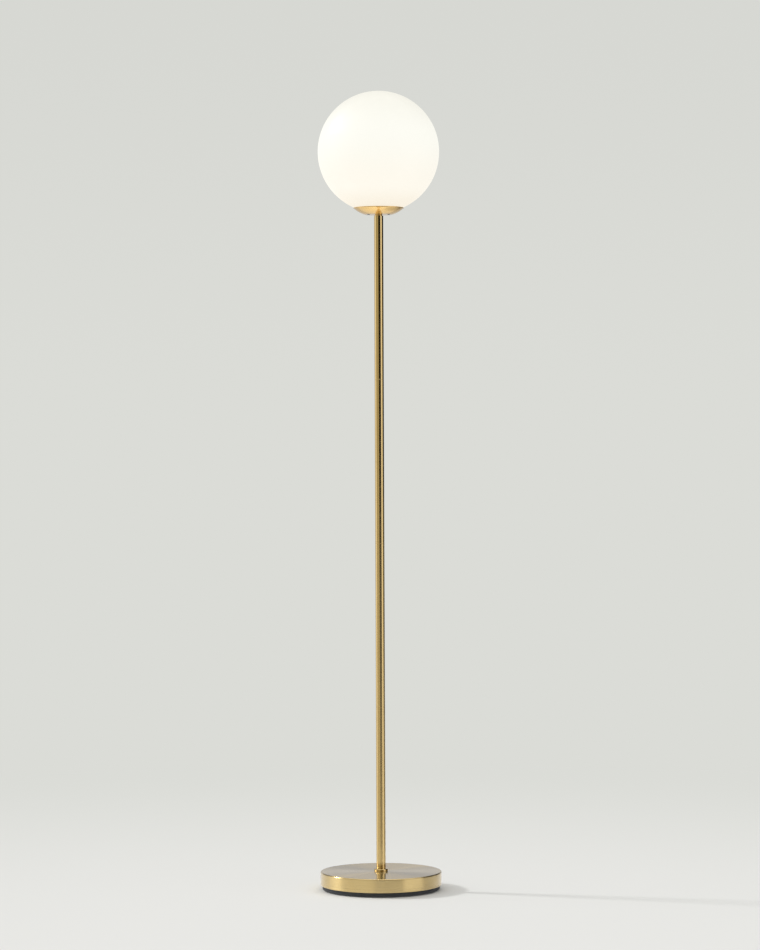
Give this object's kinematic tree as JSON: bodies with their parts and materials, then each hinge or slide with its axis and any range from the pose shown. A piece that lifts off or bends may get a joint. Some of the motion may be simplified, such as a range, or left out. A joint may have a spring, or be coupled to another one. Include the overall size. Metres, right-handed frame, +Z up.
{
  "type": "globe floor lamp",
  "caption": "Floor lamp with an opal glass ball on a slim brass stem and a round weighted base; the globe lifts off and the bulb screws out.",
  "frame": {"origin": "on the floor, under the centre of the base, on the stem's axis", "axes": "+Z up along the stem, -Y towards the front, +Y towards the cable inlet at the rear"},
  "size_m": [0.25, 0.25, 1.6465],
  "materials": {
    "brass": "spun, fine satin brushing under clear lacquer",
    "brass_tube": "polished to a near mirror along the tube, lacquered",
    "brass_gallery": "spun and polished",
    "iron": "as cast, dipped in dark primer",
    "steel": "bright zinc plate",
    "spring_steel": "rolled, satin",
    "contact_brass": "pressed, bare",
    "nickel": "rolled, nickel bright",
    "board": "white solder mask on aluminium",
    "tray_black": "moulded, fine spark texture",
    "rubber_black": "moulded, matt",
    "bush_black": "moulded nylon",
    "block_white": "moulded, slightly translucent",
    "holder_white": "moulded thermoset, gloss",
    "core_white": "glazed porcelain",
    "gasket_clear": "clear silicone, satin",
    "flex_white": "extruded sheath, satin",
    "bulb_white": "moulded, satin",
    "bulb_diffuser": "frosted, translucent, lit",
    "black_glass": "fused black glass",
    "led_yellow": "phosphor gel",
    "opal_glass": "blown opal, satin outside, lit from within"
  },
  "bodies": {
    "stand": {"foot_pads": "rubber_black", "base_tray": "tray_black", "base_weight": "iron", "base_cover": "brass", "base_screws": "steel", "base_washer": "steel", "base_nut": "steel", "base_nipple": "steel", "cord_bush": "bush_black", "terminal_block": "block_white", "terminal_barrels": "contact_brass", "terminal_screws": "steel", "stem_collar": "brass_tube", "stem_tube_1": "brass_tube", "stem_tube_2": "brass_tube", "stem_tube_3": "brass_tube", "stem_tube_4": "brass_tube", "stem_socket_1": "steel", "stem_socket_2": "steel", "stem_socket_3": "steel", "stem_stud_1": "steel", "stem_stud_2": "steel", "stem_stud_3": "steel", "stem_foot_insert": "steel", "stem_top_insert": "steel", "stem_flex": "flex_white", "top_spacer": "brass_tube", "top_nipple": "steel", "gallery_dish": "brass_gallery", "gallery_screws": "steel", "gallery_nuts": "steel", "dish_washer": "steel", "dish_nut": "steel", "claw_ring": "spring_steel", "glass_gasket": "gasket_clear", "holder_cap": "holder_white", "holder_core": "core_white", "holder_screw_shell": "contact_brass", "holder_skirt": "holder_white", "centre_contact": "contact_brass"},
    "globe": {"globe_glass": "opal_glass"},
    "bulb_tip": {"bulb_contact": "contact_brass"},
    "bulb": {"bulb_insulator": "black_glass", "bulb_cap": "nickel", "bulb_housing": "bulb_white", "bulb_diffuser": "bulb_diffuser", "led_board": "board", "led_chips": "led_yellow"}
  },
  "joints": [
    {"name": "globe_lift", "type": "slide", "parent": "stand", "child": "globe", "axis": [0, 0, 1], "range_m": [0, 0.15]},
    {"name": "bulb_rise", "type": "slide", "parent": "stand", "child": "bulb_tip", "axis": [0, 0, 1], "range_m": [0, 0.0182]},
    {"name": "bulb_turn", "type": "hinge", "parent": "bulb_tip", "child": "bulb", "pos_m": [0, 0, 1.4293], "axis": [0, 0, 1], "range_deg": [0, 1800]}
  ],
  "couplings": [
    {"joint": "bulb_rise", "follows": "bulb_turn", "m_per_rad": 0.0005775}
  ]
}
